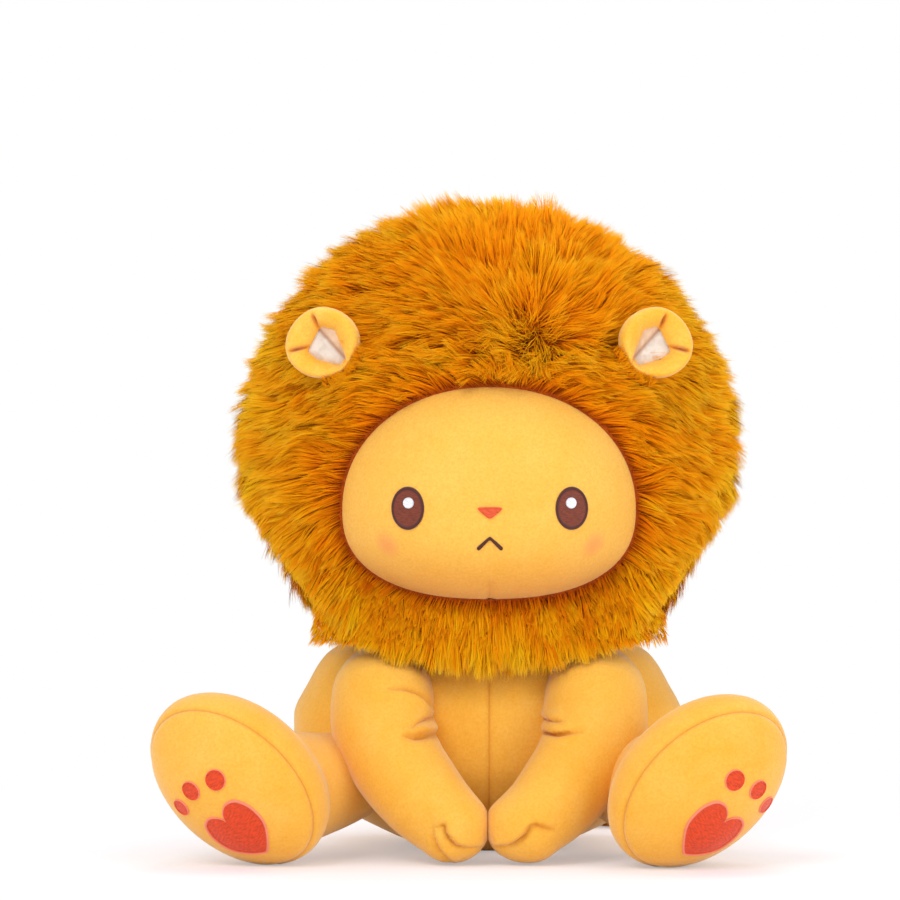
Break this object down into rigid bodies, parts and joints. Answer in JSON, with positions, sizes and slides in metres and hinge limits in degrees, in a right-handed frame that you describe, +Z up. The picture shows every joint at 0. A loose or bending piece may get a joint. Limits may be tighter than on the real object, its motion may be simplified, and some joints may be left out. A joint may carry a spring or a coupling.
{
  "type": "sitting plush lion",
  "caption": "Sitting plush lion with a round long-pile mane, a flat velour face, folded-down arms, splayed legs and paw prints on the soles.",
  "frame": {"origin": "middle of the seat's flat underside, on the surface that the toy sits on", "axes": "+Z up; the toy faces -Y; left and right in node names are as seen by someone who faces the toy, so left is -X"},
  "size_m": [0.497, 0.4054, 0.529],
  "materials": {
    "velour": "short-pile stretch velour, soft sheen",
    "mane_pile": "long-pile fake fur, deep orange roots and golden tips",
    "fibre_filling": "loose polyester fibre",
    "satin": "smooth satin lining",
    "brown_thread": "satin-stitch embroidery",
    "white_thread": "satin-stitch embroidery",
    "coral_thread": "satin-stitch embroidery",
    "red_thread": "fill-stitch embroidery with a satin rim"
  },
  "bodies": {
    "torso": {"torso_skin": "velour", "torso_filling": "fibre_filling"},
    "head": {"head_filling": "fibre_filling", "face_panel": "velour", "mane_front": "mane_pile", "mane_chin": "mane_pile", "mane_back": "mane_pile", "eye_left": "brown_thread", "eye_right": "brown_thread", "eye_highlight_left": "white_thread", "eye_highlight_right": "white_thread", "nose": "coral_thread", "mouth": "brown_thread"},
    "ear_left": {"ear_left": "velour", "ear_lining_left": "satin"},
    "ear_right": {"ear_right": "velour", "ear_lining_right": "satin"},
    "arm_left": {"arm_skin_left": "velour", "arm_filling_left": "fibre_filling"},
    "arm_right": {"arm_skin_right": "velour", "arm_filling_right": "fibre_filling"},
    "leg_left": {"leg_skin_left": "velour", "leg_filling_left": "fibre_filling", "sole_left": "velour", "heart_left": "red_thread", "toe_pad_left_1": "red_thread", "toe_pad_left_2": "red_thread", "toe_pad_left_3": "red_thread"},
    "leg_right": {"leg_skin_right": "velour", "leg_filling_right": "fibre_filling", "sole_right": "velour", "heart_right": "red_thread", "toe_pad_right_1": "red_thread", "toe_pad_right_2": "red_thread", "toe_pad_right_3": "red_thread"},
    "tail": {"tail": "velour", "tail_tuft": "mane_pile"}
  },
  "joints": [
    {"name": "neck_turn", "type": "hinge", "parent": "torso", "child": "head", "pos_m": [0, 0, 0.168], "axis": [0, 0, 1], "range_deg": [-40, 40], "stiffness_Nm_per_rad": 1.2},
    {"name": "ear_left_flop", "type": "hinge", "parent": "head", "child": "ear_left", "pos_m": [-0.12388, -0.10381, 0.40032], "axis": [-0.7288, 0.1953, -0.6562], "range_deg": [-12, 12], "stiffness_Nm_per_rad": 0.03},
    {"name": "ear_right_flop", "type": "hinge", "parent": "head", "child": "ear_right", "pos_m": [0.12388, -0.10381, 0.40032], "axis": [0.7288, 0.1953, -0.6562], "range_deg": [-12, 12], "stiffness_Nm_per_rad": 0.03},
    {"name": "shoulder_left_lift", "type": "hinge", "parent": "torso", "child": "arm_left", "pos_m": [-0.0855, -0.0702, 0.1265], "axis": [-1, 0, 0], "range_deg": [0, 20], "stiffness_Nm_per_rad": 0.4},
    {"name": "shoulder_right_lift", "type": "hinge", "parent": "torso", "child": "arm_right", "pos_m": [0.0855, -0.0702, 0.1265], "axis": [-1, 0, 0], "range_deg": [0, 20], "stiffness_Nm_per_rad": 0.4},
    {"name": "hip_left_splay", "type": "hinge", "parent": "torso", "child": "leg_left", "pos_m": [-0.08632, -0.04536, 0.062], "axis": [0, 0, -1], "range_deg": [-10, 8], "stiffness_Nm_per_rad": 1},
    {"name": "hip_right_splay", "type": "hinge", "parent": "torso", "child": "leg_right", "pos_m": [0.08632, -0.04536, 0.062], "axis": [0, 0, 1], "range_deg": [0, 18], "stiffness_Nm_per_rad": 1},
    {"name": "tail_swing", "type": "hinge", "parent": "torso", "child": "tail", "pos_m": [0, 0.114, 0.034], "axis": [0, 0, 1], "range_deg": [-12, 12], "stiffness_Nm_per_rad": 0.05}
  ]
}
